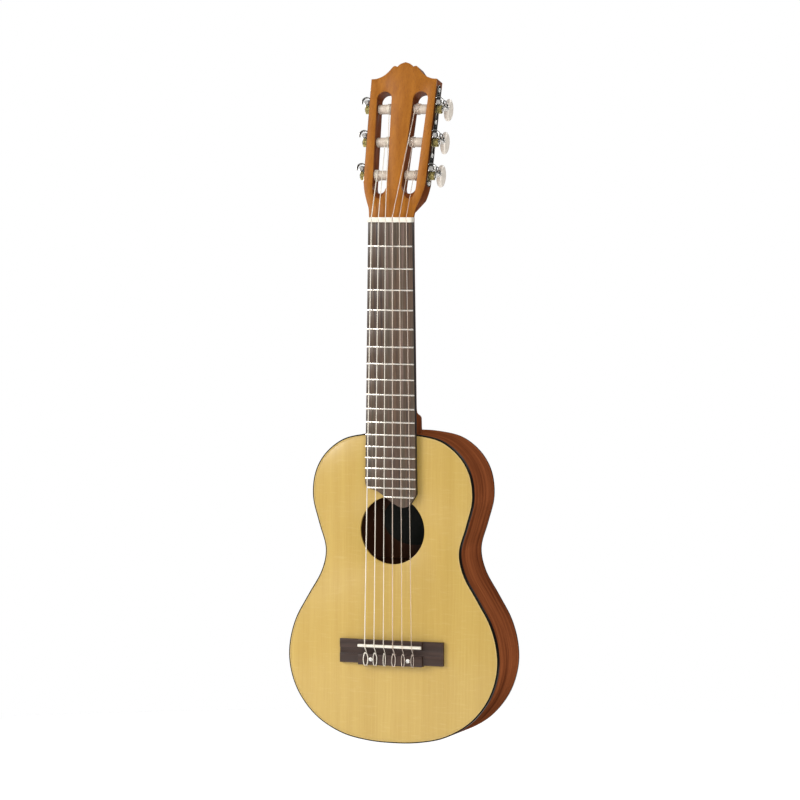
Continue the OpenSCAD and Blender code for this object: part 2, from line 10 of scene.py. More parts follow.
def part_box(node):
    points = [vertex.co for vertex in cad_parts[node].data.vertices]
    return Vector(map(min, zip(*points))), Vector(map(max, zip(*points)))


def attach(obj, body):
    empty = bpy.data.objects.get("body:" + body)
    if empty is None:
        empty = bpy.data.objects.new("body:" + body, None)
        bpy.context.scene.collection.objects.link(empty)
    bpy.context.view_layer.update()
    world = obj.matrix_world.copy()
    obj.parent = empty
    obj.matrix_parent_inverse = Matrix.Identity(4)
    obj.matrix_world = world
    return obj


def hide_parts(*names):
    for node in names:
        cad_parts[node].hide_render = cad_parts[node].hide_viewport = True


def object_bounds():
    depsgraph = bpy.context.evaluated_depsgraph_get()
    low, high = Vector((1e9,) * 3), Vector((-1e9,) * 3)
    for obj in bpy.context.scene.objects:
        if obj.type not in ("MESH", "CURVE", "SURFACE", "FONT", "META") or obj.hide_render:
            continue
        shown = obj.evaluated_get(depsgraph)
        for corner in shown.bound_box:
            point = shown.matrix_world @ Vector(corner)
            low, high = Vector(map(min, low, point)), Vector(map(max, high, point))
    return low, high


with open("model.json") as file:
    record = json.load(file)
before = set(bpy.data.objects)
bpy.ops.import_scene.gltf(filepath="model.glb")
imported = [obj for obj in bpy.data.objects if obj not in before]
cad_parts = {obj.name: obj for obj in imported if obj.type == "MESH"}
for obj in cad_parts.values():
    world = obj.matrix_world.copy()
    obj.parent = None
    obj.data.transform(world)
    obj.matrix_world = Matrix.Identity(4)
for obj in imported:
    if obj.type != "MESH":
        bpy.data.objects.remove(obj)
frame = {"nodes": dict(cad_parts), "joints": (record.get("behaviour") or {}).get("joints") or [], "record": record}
cad_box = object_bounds()

MM = 0.001
ROOT = "guitar"
STRINGS = range(1, 7)  # string 1 is the lowest
WOUND = (1, 2, 3)
joints = {j["name"]: j for j in frame["joints"]}

# Camera: place in metres, angles in degrees, lens and sensor in millimetres.
CAMERA_PLACE = (1.3977, -3.6341, 0.0482)
CAMERA_YAW = 20.92
CAMERA_PITCH = -3.37
CAMERA_ROLL = -0.05
CAMERA_LENS = 172.2
CAMERA_SENSOR = 36
CAMERA_CLIP = 50

# Lamps: name, place, point aimed at, width and height in metres, and power in watts.
LAMPS = (
    ("key", (-2.2, -2.0, 1.0), (0, 0, -0.15), (1.4, 1.4), 85),
    ("front", (1.7, -2.6, 0.3), (0, 0, -0.2), (1.2, 1.2), 30),
    ("rear", (0.9, 2.3, 1.2), (0, 0, -0.2), (1.6, 1.6), 22),
)
# Grey of the surroundings, from straight below (0) to straight above (1), and of their rear.
GREY_BELOW = 0.35
GREY_ABOVE = 0.65
GREYS_BETWEEN = ((0.42, 0.22), (0.6, 0.22), (0.75, 0.5))
GREY_REAR = 0.035
# The floor lies well below the object, which hangs from its neck.
FLOOR_DROP = 0.3
FLOOR_RADIUS = 2.4

WELD = 2e-6  # vertices of a CAD mesh that lie closer than this are one
ROLLER_RADIUS = 5.0  # millimetres


def angles(sides):
    """Equal steps once round, in radians."""
    return [2 * math.pi * j / sides for j in range(sides)]


def middle_of(points):
    return sum(points, Vector()) / len(points)


def make_camera():
    data = bpy.data.cameras.new("camera")
    data.lens = CAMERA_LENS
    data.sensor_width = CAMERA_SENSOR
    data.clip_end = CAMERA_CLIP
    camera = bpy.data.objects.new("camera", data)
    bpy.context.scene.collection.objects.link(camera)
    turn = Matrix.Rotation(math.radians(CAMERA_YAW), 4, "Z")
    tilt = Matrix.Rotation(math.radians(90 + CAMERA_PITCH), 4, "X")
    roll = Matrix.Rotation(math.radians(CAMERA_ROLL), 4, "Z")
    camera.matrix_world = Matrix.Translation(CAMERA_PLACE) @ turn @ tilt @ roll
    bpy.context.scene.camera = camera


def area_light(name, place, target, size, power):
    data = bpy.data.lights.new(name, "AREA")
    data.shape = "RECTANGLE"
    data.size, data.size_y = size
    data.energy = power
    light = bpy.data.objects.new(name, data)
    bpy.context.scene.collection.objects.link(light)
    light.location = place
    light.rotation_euler = (Vector(target) - Vector(place)).to_track_quat("-Z", "Y").to_euler()


def make_studio():
    """Lamps, floor and surroundings: white for the camera, lit by a bright ceiling and dark at the rear."""
    scene = bpy.context.scene
    scene.view_settings.view_transform = "Standard"
    world = bpy.data.worlds.new("studio")
    scene.world = world
    world.use_nodes = True
    nodes, links = world.node_tree.nodes, world.node_tree.links

    def grey(level):
        return (level, level, level, 1)

    def share(value, low, high):
        made = nodes.new("ShaderNodeMapRange")
        made.inputs["From Min"].default_value = low
        made.inputs["From Max"].default_value = high
        links.new(value, made.inputs["Value"])
        return made.outputs["Result"]

    where = nodes.new("ShaderNodeTexCoord")
    split = nodes.new("ShaderNodeSeparateXYZ")
    links.new(where.outputs["Generated"], split.inputs["Vector"])
    ramp = nodes.new("ShaderNodeValToRGB")
    ramp.color_ramp.elements[0].color = grey(GREY_BELOW)
    ramp.color_ramp.elements[1].color = grey(GREY_ABOVE)
    for position, level in GREYS_BETWEEN:
        ramp.color_ramp.elements.new(position).color = grey(level)
    links.new(share(split.outputs["Z"], -1.0, 1.0), ramp.inputs["Fac"])
    rear = nodes.new("ShaderNodeMath")
    rear.operation = "MULTIPLY"
    links.new(share(split.outputs["Y"], 0.15, 0.6), rear.inputs[0])
    links.new(share(split.outputs["Z"], 0.55, 0.2), rear.inputs[1])
    shaded = nodes.new("ShaderNodeMix")
    shaded.data_type = "RGBA"
    shaded.inputs["B"].default_value = grey(GREY_REAR)
    links.new(rear.outputs["Value"], shaded.inputs["Factor"])
    links.new(ramp.outputs["Color"], shaded.inputs["A"])
    around = nodes["Background"]
    around.inputs["Strength"].default_value = 1.0
    links.new(shaded.outputs["Result"], around.inputs["Color"])
    backdrop = nodes.new("ShaderNodeBackground")
    backdrop.inputs["Color"].default_value = grey(1)
    path = nodes.new("ShaderNodeLightPath")
    either = nodes.new("ShaderNodeMixShader")
    links.new(path.outputs["Is Camera Ray"], either.inputs["Fac"])
    links.new(around.outputs["Background"], either.inputs[1])
    links.new(backdrop.outputs["Background"], either.inputs[2])
    links.new(either.outputs["Shader"], nodes["World Output"].inputs["Surface"])

    for lamp in LAMPS:
        area_light(*lamp)

    floor_z = cad_box[0].z - FLOOR_DROP
    mesh = bpy.data.meshes.new("floor")
    rim = [(FLOOR_RADIUS * math.cos(a), FLOOR_RADIUS * math.sin(a), floor_z) for a in angles(96)]
    mesh.from_pydata(rim, [], [tuple(range(len(rim)))])
    floor = bpy.data.objects.new("floor", mesh)
    scene.collection.objects.link(floor)
    white = Material("floor_white", (0.9, 0.9, 0.9), 0.9)
    white.shader.inputs["Specular IOR Level"].default_value = 0.0
    white.shader.inputs["Emission Color"].default_value = (1, 1, 1, 1)
    white.shader.inputs["Emission Strength"].default_value = 0.3
    mesh.materials.append(white.data)


# ---- Materials ----

class Material:
    """A Principled material with short calls for the nodes that give it pattern and relief."""

    def __init__(self, name, color, roughness, metallic=0.0):
        self.data = bpy.data.materials.new(name)
        self.data.use_nodes = True
        self.nodes = self.data.node_tree.nodes
        self.links = self.data.node_tree.links
        self.shader = self.nodes["Principled BSDF"]
        self.shader.inputs["Base Color"].default_value = (*color, 1)
        self.shader.inputs["Roughness"].default_value = roughness
        self.shader.inputs["Metallic"].default_value = metallic

    def node(self, kind, **values):
        """A new node with the given settings and inputs."""
        made = self.nodes.new(kind)
        for key, value in values.items():
            if hasattr(made, key):
                setattr(made, key, value)
            else:
                made.inputs[key.replace("_", " ")].default_value = value
        return made

    def join(self, source, target):
        self.links.new(source, target)

    def place(self, scale, source="Object"):
        """Texture coordinates in metres, stretched by scale along each axis."""
        where = self.node("ShaderNodeTexCoord")
        mapping = self.node("ShaderNodeMapping")
        mapping.inputs["Scale"].default_value = scale
        self.join(where.outputs[source], mapping.inputs["Vector"])
        return mapping.outputs["Vector"]

    def split(self, vector):
        """A vector's X, Y and Z."""
        made = self.node("ShaderNodeSeparateXYZ")
        self.join(vector, made.inputs["Vector"])
        return made.outputs

    def along(self, axis, source="Object"):
        """Distance along one axis, in metres."""
        return self.split(self.place((1, 1, 1), source))[axis]

    def waves(self, distance, length):
        """Even waves between -1 and 1, each as long as length."""
        return self.math("SINE", self.math("MULTIPLY", distance, 2 * math.pi / length), 0.0)

    def normal(self):
        """X, Y and Z of the way a face looks."""
        return self.split(self.node("ShaderNodeNewGeometry").outputs["True Normal"])

    def noise(self, scale, detail=4, roughness=0.55, source="Object"):
        """Noise whose grain has scale spots to a metre along each axis."""
        made = self.node("ShaderNodeTexNoise")
        made.inputs["Scale"].default_value = 1
        made.inputs["Detail"].default_value = detail
        made.inputs["Roughness"].default_value = roughness
        self.join(self.place(scale, source), made.inputs["Vector"])
        return made.outputs["Fac"]

    def ramp(self, value, *stops):
        """Maps a value to colours: stops are (position, (r, g, b))."""
        made = self.node("ShaderNodeValToRGB")
        made.color_ramp.elements[0].position = stops[0][0]
        made.color_ramp.elements[0].color = (*stops[0][1], 1)
        made.color_ramp.elements[1].position = stops[-1][0]
        made.color_ramp.elements[1].color = (*stops[-1][1], 1)
        for position, color in stops[1:-1]:
            made.color_ramp.elements.new(position).color = (*color, 1)
        self.join(value, made.inputs["Fac"])
        return made.outputs["Color"]

    def span(self, value, low, high, to_low=0.0, to_high=1.0):
        """Maps a value from low..high to to_low..to_high, and holds it there."""
        made = self.node("ShaderNodeMapRange")
        made.inputs["From Min"].default_value = low
        made.inputs["From Max"].default_value = high
        made.inputs["To Min"].default_value = to_low
        made.inputs["To Max"].default_value = to_high
        self.join(value, made.inputs["Value"])
        return made.outputs["Result"]

    def math(self, kind, a, b):
        """A Math node on two values, each a number or a socket."""
        made = self.node("ShaderNodeMath", operation=kind)
        for value, target in ((a, made.inputs[0]), (b, made.inputs[1])):
            if isinstance(value, (int, float)):
                target.default_value = value
            else:
                self.join(value, target)
        return made.outputs[0]

    def mix(self, kind, factor, a, b):
        """Blends colour b over colour a; each argument is a number, a colour or a socket."""
        made = self.node("ShaderNodeMix", data_type="RGBA", blend_type=kind)
        for value, socket in ((factor, "Factor"), (a, "A"), (b, "B")):
            target = made.inputs[socket]
            if isinstance(value, (int, float)):
                target.default_value = value
            elif isinstance(value, tuple):
                target.default_value = (*value, 1)
            else:
                self.join(value, target)
        return made.outputs["Result"]

    def relief(self, height, depth, strength):
        """Fine bumps from a height pattern, depth metres high."""
        bump = self.node("ShaderNodeBump")
        bump.inputs["Strength"].default_value = strength
        bump.inputs["Distance"].default_value = depth
        self.join(height, bump.inputs["Height"])
        self.join(bump.outputs["Normal"], self.shader.inputs["Normal"])

    def coat(self, weight, roughness):
        self.shader.inputs["Coat Weight"].default_value = weight
        self.shader.inputs["Coat Roughness"].default_value = roughness


def spruce():
    """Pale softwood: close annual lines down the plate, broad tone bands and a faint cross silk."""
    m = Material("spruce", (0.6, 0.4, 0.12), 0.4)
    ring_width, sway = 0.0014, 0.012
    wander = m.math("MULTIPLY", m.noise((14, 14, 2.2), 2), sway)
    lines = m.span(m.waves(m.math("ADD", m.along("X"), wander), ring_width), 0.1, 1.0)
    bands = m.noise((70, 70, 1.2), 3)
    fibre = m.noise((900, 900, 26), 3)
    silk = m.noise((60, 60, 420), 2)
    color = m.ramp(bands, (0.32, (0.465, 0.308, 0.066)), (0.5, (0.488, 0.328, 0.076)),
                   (0.7, (0.515, 0.352, 0.086)))
    color = m.mix("MULTIPLY", m.span(lines, 0, 1, 0, 0.6), color, (0.80, 0.68, 0.46))
    color = m.mix("MULTIPLY", m.span(fibre, 0.45, 0.75, 0, 0.4), color, (0.86, 0.78, 0.62))
    color = m.mix("SCREEN", m.span(silk, 0.55, 0.8, 0, 0.10), color, (0.6, 0.5, 0.3))
    m.join(color, m.shader.inputs["Base Color"])
    m.join(m.span(fibre, 0.3, 0.7, 0.34, 0.46), m.shader.inputs["Roughness"])
    m.relief(lines, 0.00006, 0.25)
    m.coat(0.35, 0.18)
    return m.data


def hardwood(name, dark, light, scale, pores, source="Object", coat=0.4, gloss=0.5, painted_inner_shade=False,
             painted_underside_shade=False):
    """Straight-grained hardwood: long streaks along the scale's small axis and short dark open pores.

    painted_inner_shade darkens faces towards the soundboard with a blue-grey: painted shade inside the body.
    painted_underside_shade darkens faces that look down to half: painted shade where a bent side turns under.
    """
    m = Material(name, light, 0.42)
    streaks = m.noise(scale, 5, 0.6, source)
    fine = m.noise(tuple(6 * s for s in scale), 3, 0.6, source)
    open_pores = m.noise(pores, 2, 0.7, source)
    middle = tuple((a + b) / 2 for a, b in zip(dark, light))
    color = m.ramp(streaks, (0.3, dark), (0.5, middle), (0.72, light))
    color = m.mix("MULTIPLY", m.span(fine, 0.35, 0.75, 0, 0.35), color, (0.62, 0.52, 0.48))
    pore = m.span(open_pores, 0.62, 0.72)
    color = m.mix("MULTIPLY", m.math("MULTIPLY", pore, 0.55), color, (0.35, 0.25, 0.22))
    m.join(color, m.shader.inputs["Base Color"])
    m.join(m.span(streaks, 0.3, 0.7, 0.36, 0.5), m.shader.inputs["Roughness"])
    m.shader.inputs["Specular IOR Level"].default_value = gloss
    if painted_inner_shade:
        # Painted shade: faces towards the soundboard, inside the body, are darkened with a blue-grey.
        painted_shade_share = m.span(m.normal()["Y"], -0.2, -0.6)
        m.join(m.mix("MULTIPLY", painted_shade_share, color, (0.3, 0.34, 0.42)), m.shader.inputs["Base Color"])
    if painted_underside_shade:
        # Painted shade: faces that look down are darkened to half.
        painted_shade_share = m.span(m.normal()["Z"], -0.1, -0.65)
        m.join(m.mix("MULTIPLY", painted_shade_share, color, (0.5, 0.5, 0.5)), m.shader.inputs["Base Color"])
    m.relief(m.math("SUBTRACT", 1.0, pore), 0.00008, 0.3)
    m.coat(coat, 0.2)
    return m.data


def fingerboard_wood():
    """Dark open-grained wood: long brown, olive and purple streaks, dark bass margin, and side faces made near
    black as painted shade.
    """
    m = Material("fingerboard_wood", (0.09, 0.056, 0.036), 0.45)
    broad = m.noise((95, 95, 2.5), 3, 0.6)
    fine = m.noise((420, 420, 9), 4, 0.6)
    pores = m.noise((1500, 1500, 45), 2, 0.7)
    color = m.ramp(broad, (0.38, (0.035, 0.021, 0.016)), (0.47, (0.115, 0.066, 0.038)),
                   (0.54, (0.08, 0.058, 0.034)), (0.63, (0.175, 0.115, 0.088)))
    color = m.mix("MULTIPLY", m.span(fine, 0.35, 0.7, 0, 0.75), color, (0.45, 0.4, 0.38))
    pore = m.span(pores, 0.6, 0.72)
    color = m.mix("MULTIPLY", m.math("MULTIPLY", pore, 0.6), color, (0.3, 0.24, 0.22))
    margin = m.span(m.along("X"), -0.0205, -0.0235)
    color = m.mix("MULTIPLY", margin, color, (0.58, 0.62, 0.66))
    # Painted shade: faces that look sideways are made near black.
    edge = m.span(m.math("ABSOLUTE", m.normal()["X"], 0.0), 0.5, 0.8)
    color = m.mix("MIX", edge, color, (0.008, 0.006, 0.005))
    m.join(color, m.shader.inputs["Base Color"])
    m.join(m.span(fine, 0.3, 0.7, 0.38, 0.52), m.shader.inputs["Roughness"])
    m.relief(m.math("SUBTRACT", 1.0, pore), 0.00008, 0.3)
    return m.data


def even_finish(name, color, roughness, mottle, grain=900, coat=0.0, gloss=0.5):
    """Plastic or bone: one colour with small-scale tone changes, handling marks and fine relief."""
    m = Material(name, color, roughness)
    m.shader.inputs["Specular IOR Level"].default_value = gloss
    tone = m.noise((grain, grain, grain), 4)
    patches = m.noise((60, 60, 60), 3)
    dark = tuple(c * (1 - mottle) for c in color)
    shade = m.ramp(tone, (0.35, dark), (0.65, color))
    shade = m.mix("MULTIPLY", m.span(patches, 0.35, 0.75, 0, mottle), shade, (0.8, 0.76, 0.7))
    m.join(shade, m.shader.inputs["Base Color"])
    m.join(m.span(patches, 0.3, 0.7, roughness * 0.8, roughness * 1.25), m.shader.inputs["Roughness"])
    m.relief(tone, 0.00002, 0.25)
    m.coat(coat, 0.1)
    return m.data


def roller_sleeve():
    """Off-white plastic sleeve with fine turned rings, darker in their grooves, and faint mottling."""
    m = Material("roller_sleeve", (0.58, 0.49, 0.4), 0.42)
    groove = m.span(m.waves(m.along("X"), 0.0021), 0.35, 0.95)
    tone = m.noise((500, 500, 500), 4)
    color = m.ramp(tone, (0.35, (0.54, 0.455, 0.37)), (0.65, (0.62, 0.53, 0.435)))
    color = m.mix("MULTIPLY", m.math("MULTIPLY", groove, 0.45), color, (0.7, 0.64, 0.58))
    m.join(color, m.shader.inputs["Base Color"])
    m.relief(m.math("SUBTRACT", 1.0, groove), 0.0002, 0.4)
    return m.data


def drawn_metal(name, color, roughness, stretch):
    """Metal with fine drawn or rolled marks along one axis."""
    m = Material(name, color, roughness, 1.0)
    marks = m.noise(stretch, 3)
    cloud = m.noise((150, 150, 150), 3)
    shade = m.ramp(marks, (0.3, tuple(c * 0.82 for c in color)), (0.7, color))
    shade = m.mix("MULTIPLY", m.span(cloud, 0.4, 0.8, 0, 0.35), shade, (0.72, 0.66, 0.58))
    m.join(shade, m.shader.inputs["Base Color"])
    m.join(m.span(marks, 0.3, 0.7, roughness * 0.7, roughness * 1.4), m.shader.inputs["Roughness"])
    m.relief(marks, 0.00002, 0.2)
    return m.data


def wound_wire():
    """Wire wound round a core: close ridges across the string, in the tube's own coordinates along it."""
    m = Material("wound_wire", (0.95, 0.9, 0.8), 0.35, 0.2)
    ridge = m.waves(m.along("Y", "UV"), 0.00028)
    tone = m.noise((40, 40, 40), 3)
    shade = m.ramp(ridge, (0.1, (0.72, 0.65, 0.54)), (0.6, (0.98, 0.94, 0.84)))
    shade = m.mix("MULTIPLY", m.span(tone, 0.4, 0.8, 0, 0.4), shade, (0.8, 0.72, 0.6))
    m.join(shade, m.shader.inputs["Base Color"])
    m.relief(ridge, 0.00006, 0.5)
    return m.data


def clear_nylon():
    """Clear warm nylon with a faint haze."""
    m = Material("clear_nylon", (0.92, 0.82, 0.72), 0.15)
    haze = m.noise((300, 300, 30), 2)
    m.join(m.ramp(haze, (0.3, (0.92, 0.77, 0.64)), (0.7, (1.0, 0.88, 0.77))), m.shader.inputs["Base Color"])
    m.shader.inputs["Transmission Weight"].default_value = 0.62
    m.shader.inputs["IOR"].default_value = 1.53
    return m.data


def label_paper():
    """A plain dark oval label: a faint line round it and paper fibre, with no lettering."""
    m = Material("label_paper", (0.02, 0.035, 0.028), 0.7)
    low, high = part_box("label")
    middle, half = (low + high) / 2, (high - low) / 2
    where = m.node("ShaderNodeTexCoord")
    mapping = m.node("ShaderNodeMapping")
    mapping.inputs["Location"].default_value = (-middle.x / half.x, 0, -middle.z / half.z)
    mapping.inputs["Scale"].default_value = (1 / half.x, 0, 1 / half.z)
    m.join(where.outputs["Object"], mapping.inputs["Vector"])
    length = m.node("ShaderNodeVectorMath", operation="LENGTH")
    m.join(mapping.outputs["Vector"], length.inputs[0])
    out = length.outputs["Value"]
    dark, line = (0.008, 0.01, 0.007), (0.013, 0.014, 0.01)
    rings = m.ramp(out, (0.86, dark), (0.87, line), (0.885, line), (0.895, dark))
    fibre = m.noise((500, 500, 500), 4)
    color = m.mix("SCREEN", m.span(fibre, 0.4, 0.8, 0, 0.05), rings, (0.16, 0.17, 0.13))
    m.join(color, m.shader.inputs["Base Color"])
    m.relief(fibre, 0.00003, 0.3)
    return m.data


def make_materials():
    """Every finish by the name that the pieces ask for."""
    return {
        "spruce": spruce(),
        # The sides are darkened to half where they look down: painted shade.
        "side": hardwood("side_wood", (0.11, 0.027, 0.0095), (0.365, 0.108, 0.037),
                         (7, 130, 1), (45, 1100, 1), "UV", 0.0, 0.0, painted_underside_shade=True),
        # The back's inner face is darkened: painted shade inside the body.
        "back": hardwood("back_wood", (0.13, 0.03, 0.006), (0.27, 0.072, 0.014),
                         (130, 130, 7), (1100, 1100, 45), coat=0.15, painted_inner_shade=True),
        # The back braces are a near-black copy of the inner wood: painted shade inside the body.
        "brace": hardwood("brace_wood", (0.03, 0.011, 0.004), (0.07, 0.025, 0.01),
                          (8, 150, 150), (60, 1100, 1100), coat=0.0, gloss=0.1),
        "neck": hardwood("neck_wood", (0.11, 0.026, 0.006), (0.225, 0.064, 0.014),
                         (150, 150, 9), (1200, 1200, 60), coat=0.0, gloss=0.06),
        "veneer": hardwood("head_veneer", (0.27, 0.088, 0.0095), (0.385, 0.143, 0.017),
                           (130, 130, 8), (1000, 1000, 70), coat=0.0, gloss=0.12),
        "inner": hardwood("inner_wood", (0.4, 0.24, 0.1), (0.58, 0.38, 0.18),
                          (160, 160, 8), (900, 900, 60), coat=0),
        "board": fingerboard_wood(),
        "bridge": hardwood("bridge_wood", (0.024, 0.013, 0.009), (0.058, 0.032, 0.023),
                           (10, 260, 260), (60, 1300, 1300), coat=0.05, gloss=0.3),
        "black": even_finish("black_binding", (0.009, 0.007, 0.006), 0.3, 0.3, gloss=0.02),
        "back_edge": even_finish("back_binding", (0.012, 0.007, 0.005), 0.3, 0.3, gloss=0.02),
        "cream": even_finish("cream_line", (0.52, 0.36, 0.11), 0.4, 0.15),
        "bone": even_finish("bone", (0.8, 0.75, 0.64), 0.35, 0.1, 500, coat=0.2),
        "pearl": even_finish("pearl", (0.72, 0.7, 0.67), 0.25, 0.2, 400, coat=0.3),
        "roller": roller_sleeve(),
        "button": even_finish("button_plastic", (0.99, 0.9, 0.79), 0.22, 0.08, 260, coat=0.3),
        "nickel": drawn_metal("nickel", (0.74, 0.72, 0.69), 0.16, (200, 200, 900)),
        # A brighter copy of the nickel for the plate screws: painted highlight for the bright surroundings their
        # domes reflect.
        "screw": drawn_metal("screw_nickel_painted_highlight", (0.97, 0.96, 0.93), 0.45, (900, 900, 900)),
        # A darker copy of the nickel for the tuner plates: painted shade for the dark surroundings they reflect.
        "plate": drawn_metal("plate_nickel_painted_shade", (0.36, 0.35, 0.33), 0.12, (200, 200, 900)),
        "brass": drawn_metal("gear_brass", (0.42, 0.35, 0.14), 0.32, (900, 900, 900)),
        "fret": drawn_metal("fret_wire", (0.86, 0.81, 0.73), 0.22, (90, 900, 900)),
        "wound": wound_wire(),
        "nylon": clear_nylon(),
        "label": label_paper(),
    }


# ---- Mesh helpers. Their lengths are in metres ----

def add_piece(name, verts, faces, material, body=ROOT, slot=None, replaces=(), crease=32, uvs=None):
    """Makes a closed piece, smooth but for edges sharper than crease degrees, riding on a body."""
    mesh = bpy.data.meshes.new(name)
    mesh.from_pydata([tuple(v) for v in verts], [], faces)
    if uvs:
        layer = mesh.uv_layers.new(name="UVMap")
        for loop in mesh.loops:
            layer.data[loop.index].uv = uvs[loop.vertex_index]
    work = bmesh.new()
    work.from_mesh(mesh)
    bmesh.ops.recalc_face_normals(work, faces=work.faces)
    work.to_mesh(mesh)
    work.free()
    return finish_piece(name, mesh, material, body, slot, replaces, crease)


def finish_piece(name, mesh, material, body, slot, replaces, crease):
    """Puts a mesh in the scene with its finish, hangs it on its body's empty and hides the CAD nodes it replaces.
    """
    mesh.shade_smooth()
    mesh.set_sharp_from_angle(angle=math.radians(crease))
    piece = bpy.data.objects.new(name, mesh)
    bpy.context.scene.collection.objects.link(piece)
    mesh.materials.append(material)
    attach(piece, body)
    if replaces:
        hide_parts(*replaces)
    return piece


def slot_of(node):
    """The material slot that the record gives a CAD node."""
    return next(s["material_slot"] for s in frame["record"]["subparts"] if s["node"] == node)


def refined(node, material, edge, steps=2, body=ROOT):
    """The CAD node's own shape with its sharp edges rounded by edge millimetres."""
    flat, sharp_from = math.radians(0.5), math.radians(35)
    work = bmesh.new()
    work.from_mesh(frame["nodes"][node].data)
    bmesh.ops.remove_doubles(work, verts=work.verts, dist=WELD)
    bmesh.ops.dissolve_limit(work, angle_limit=flat, verts=work.verts, edges=work.edges)
    sharp = [e for e in work.edges if len(e.link_faces) == 2 and e.calc_face_angle(0) > sharp_from]
    bmesh.ops.bevel(work, geom=sharp, offset=edge * MM, segments=steps, profile=0.5, affect="EDGES",
                    clamp_overlap=True)
    bmesh.ops.recalc_face_normals(work, faces=work.faces)
    bmesh.ops.triangulate(work, faces=[f for f in work.faces if len(f.verts) > 4])
    mesh = bpy.data.meshes.new(node + "_rounded")
    work.to_mesh(mesh)
    work.free()
    return finish_piece(node + "_rounded", mesh, material, body, slot_of(node), (node,), 30)


def loft(rings, closed=False):
    """Vertices and faces of a skin over rings of equal length, with end caps unless it is closed."""
    count = len(rings[0])
    verts = [point for ring in rings for point in ring]
    spans = len(rings) if closed else len(rings) - 1
    faces = []
    for i in range(spans):
        a, b = i * count, (i + 1) % len(rings) * count
        for j in range(count):
            k = (j + 1) % count
            faces.append((a + j, b + j, b + k, a + k))
    if not closed:
        faces.append(tuple(range(count)))
        faces.append(tuple(range((len(rings) - 1) * count, len(rings) * count)))
    return verts, faces


def curve_through(points, steps, closed=False):
    """A smooth curve through points, with steps stretches between neighbours."""
    count = len(points)

    def at(i):
        return points[i % count] if closed else points[min(max(i, 0), count - 1)]

    made = []
    for i in range(count if closed else count - 1):
        a, b, c, d = at(i - 1), at(i), at(i + 1), at(i + 2)
        for j in range(steps):
            t = j / steps
            made.append(0.5 * (2 * b + (c - a) * t + (2 * a - 5 * b + 4 * c - d) * t * t
                               + (3 * b - a - 3 * c + d) * t * t * t))
    if not closed:
        made.append(points[-1].copy())
    return made


def tube(name, path, radius, material, body, slot, replaces=(), sides=10):
    """A round tube along a path."""
    rings, uvs = [], []
    side = None
    run = 0.0
    last = len(path) - 1
    for i, point in enumerate(path):
        along = (path[min(i + 1, last)] - path[max(i - 1, 0)]).normalized()
        if side is None:
            side = along.orthogonal().normalized()
        side = (side - along * side.dot(along)).normalized()
        up = along.cross(side)
        run += (point - path[max(i - 1, 0)]).length
        rings.append([point + radius * (math.cos(a) * side + math.sin(a) * up) for a in angles(sides)])
        uvs += [(j / sides, run) for j in range(sides)]
    return add_piece(name, *loft(rings), material, body, slot, replaces, 40, uvs)


# ---- Body shell ----

def body_outline():
    """The body's edge from the frame's own binding, finely smoothed, as (x, z) points in order."""
    middle = Vector((0, -0.385))
    inner_gap = 0.0012  # points nearer the middle by more than this are on the binding's inner edge
    found = {}
    for v in frame["nodes"]["top_binding"].data.vertices:
        if abs(v.co.y) < 1e-5:
            p = Vector((v.co.x, v.co.z))
            angle = round(math.atan2(p.x - middle.x, p.y - middle.y), 3)
            if angle not in found or (p - middle).length > (found[angle] - middle).length:
                found[angle] = p
    reach = {a: (found[a] - middle).length for a in found}
    ordered = sorted(found)
    outer = []
    for i, a in enumerate(ordered):
        near = max(reach[ordered[(i + d) % len(ordered)]] for d in (-1, 0, 1))
        if reach[a] > near - inner_gap:
            outer.append(found[a])
    return curve_through(outer, 3, closed=True)


def swept_ring(outline, profile, first=0, last=None):
    """A profile of (inset, y) points carried round the outline, or along part of it."""
    count = len(outline)
    closed = last is None
    places = range(count) if closed else range(first, last + 1)
    rings, uvs = [], []
    run = 0.0
    for i in places:
        here, ahead, behind = outline[i % count], outline[(i + 1) % count], outline[(i - 1) % count]
        along = (ahead - behind).normalized()
        inward = Vector((along.y, -along.x))
        run += (here - behind).length
        rings.append([Vector((here.x + inward.x * d, y, here.y + inward.y * d)) for d, y in profile])
        uvs += [(run, y) for d, y in profile]
    verts, faces = loft(rings, closed)
    return verts, faces, uvs


def rounded_corner(inset, y, turn, radius, steps=4):
    """Profile points round an outer corner whose centre is radius in from (inset, y)."""
    made = []
    for i in range(steps + 1):
        a = math.radians(turn + 90 * i / steps)
        made.append((inset + radius + radius * math.cos(a), y + radius * math.sin(a)))
    return made


